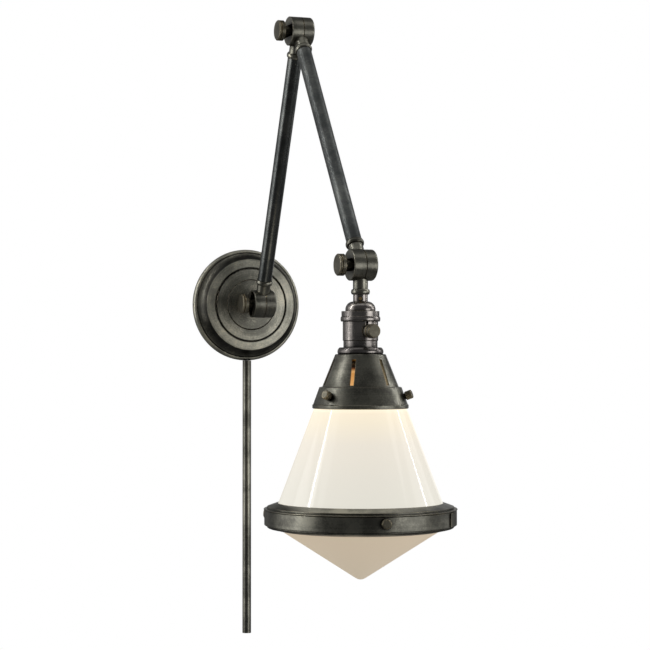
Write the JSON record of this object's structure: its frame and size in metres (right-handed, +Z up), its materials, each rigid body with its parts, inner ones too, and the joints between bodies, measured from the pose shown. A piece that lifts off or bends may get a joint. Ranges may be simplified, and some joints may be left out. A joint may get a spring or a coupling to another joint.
{
  "type": "swing arm wall sconce",
  "caption": "Wall light with a round stepped canopy, two jointed swinging arms, a conical opal glass shade in a banded ring, and a metal cord cover down the wall.",
  "frame": {"origin": "centre of the canopy's back face, on the wall plane and midway between the two wall screw holes", "axes": "+Y into the wall, -Y toward the room, +Z up, +X to the right seen from the room"},
  "size_m": [0.1814, 0.4383, 0.6505],
  "materials": {
    "bronze": "aged dark bronze, satin",
    "tube_bronze": "aged dark bronze, satin",
    "socket_bronze": "aged dark bronze, polished",
    "knob_bronze": "aged bronze with worn edges",
    "brass": "machined",
    "steel": "zinc plated",
    "black_rubber": "matte",
    "fibre": "matte",
    "insulator": "matte",
    "lead_covering": "smooth",
    "opal_glass": "glossy opal",
    "satin_glass": "satin opal",
    "bulb_glass": "frosted"
  },
  "bodies": {
    "wall_plate": {"canopy": "bronze", "mounting_bracket": "steel", "canopy_set_screws": "steel", "stem_bushing": "bronze", "cord_cover": "bronze", "cord_grommet": "black_rubber"},
    "swivel": {"swivel_nipple": "brass", "swivel_locknut": "brass", "swivel_washer": "bronze", "wall_joint_fixed_half": "bronze", "wall_joint_bolt": "steel", "wall_joint_friction_washer": "fibre"},
    "lower_arm": {"wall_joint_moving_half": "bronze", "wall_joint_wave_washer": "steel", "lower_arm_tube": "tube_bronze", "lower_arm_plugs": "brass", "lower_arm_nipples": "brass", "lower_arm_leads": "lead_covering", "elbow_fixed_half": "bronze", "elbow_bolt": "steel", "elbow_friction_washer": "fibre"},
    "upper_arm": {"elbow_moving_half": "bronze", "elbow_wave_washer": "steel", "upper_arm_tube": "tube_bronze", "upper_arm_plugs": "brass", "upper_arm_nipples": "brass", "upper_arm_leads": "lead_covering", "shade_joint_fixed_half": "bronze", "shade_joint_bolt": "steel", "shade_joint_friction_washer": "fibre"},
    "shade_head": {"shade_joint_moving_half": "bronze", "shade_joint_wave_washer": "steel", "shade_nipple": "brass", "shade_leads": "lead_covering", "socket_cap": "socket_bronze", "cap_set_screw": "brass", "socket_shell": "socket_bronze", "socket_liner": "fibre", "socket_interior": "insulator", "screw_shell": "brass", "center_contact": "brass", "shade_clamp_ring": "socket_bronze", "holder_lock_ring": "brass", "shade_holder": "bronze", "holder_thumbscrews": "knob_bronze", "upper_glass": "opal_glass", "upper_ring": "bronze", "ring_band": "bronze", "band_splice": "bronze", "ring_screws": "knob_bronze", "glass_gasket": "black_rubber", "glass_retaining_ring": "steel"},
    "lower_shade": {"lower_glass": "satin_glass", "lower_ring": "bronze"},
    "bulb": {"bulb_glass": "bulb_glass", "bulb_base": "brass"},
    "switch": {"switch_knob": "knob_bronze"},
    "wall_tension_knob": {"wall_joint_knob": "knob_bronze"},
    "elbow_tension_knob": {"elbow_knob": "knob_bronze"},
    "shade_tension_knob": {"shade_joint_knob": "knob_bronze"}
  },
  "joints": [
    {"name": "wall_swivel", "type": "hinge", "parent": "wall_plate", "child": "swivel", "pos_m": [0, 0, 0], "axis": [0, 1, 0], "range_deg": [-90, 90]},
    {"name": "wall_knuckle", "type": "hinge", "parent": "swivel", "child": "lower_arm", "pos_m": [0, -0.0544, 0], "axis": [1, 0, 0], "range_deg": [-22, 30]},
    {"name": "elbow_knuckle", "type": "hinge", "parent": "lower_arm", "child": "upper_arm", "pos_m": [0, -0.17258, 0.27574], "axis": [1, 0, 0], "range_deg": [-120, 0]},
    {"name": "shade_knuckle", "type": "hinge", "parent": "upper_arm", "child": "shade_head", "pos_m": [0, -0.3438, 0.0294], "axis": [1, 0, 0], "range_deg": [-120, 30]},
    {"name": "lower_shade_release", "type": "slide", "parent": "shade_head", "child": "lower_shade", "axis": [0, 0, -1], "range_m": [0, 0.03]},
    {"name": "bulb_turn", "type": "hinge", "parent": "shade_head", "child": "bulb", "pos_m": [0, -0.3438, 0.0294], "axis": [0, 0, 1], "continuous": true},
    {"name": "switch_turn", "type": "hinge", "parent": "shade_head", "child": "switch", "pos_m": [0, -0.3438, -0.0329], "axis": [0, -1, 0], "continuous": true},
    {"name": "wall_knob_turn", "type": "hinge", "parent": "swivel", "child": "wall_tension_knob", "pos_m": [0, -0.0544, 0], "axis": [1, 0, 0], "range_deg": [0, 360]},
    {"name": "elbow_knob_turn", "type": "hinge", "parent": "lower_arm", "child": "elbow_tension_knob", "pos_m": [0, -0.17258, 0.27574], "axis": [1, 0, 0], "range_deg": [0, 360]},
    {"name": "shade_knob_turn", "type": "hinge", "parent": "upper_arm", "child": "shade_tension_knob", "pos_m": [0, -0.3438, 0.0294], "axis": [1, 0, 0], "range_deg": [0, 360]}
  ]
}
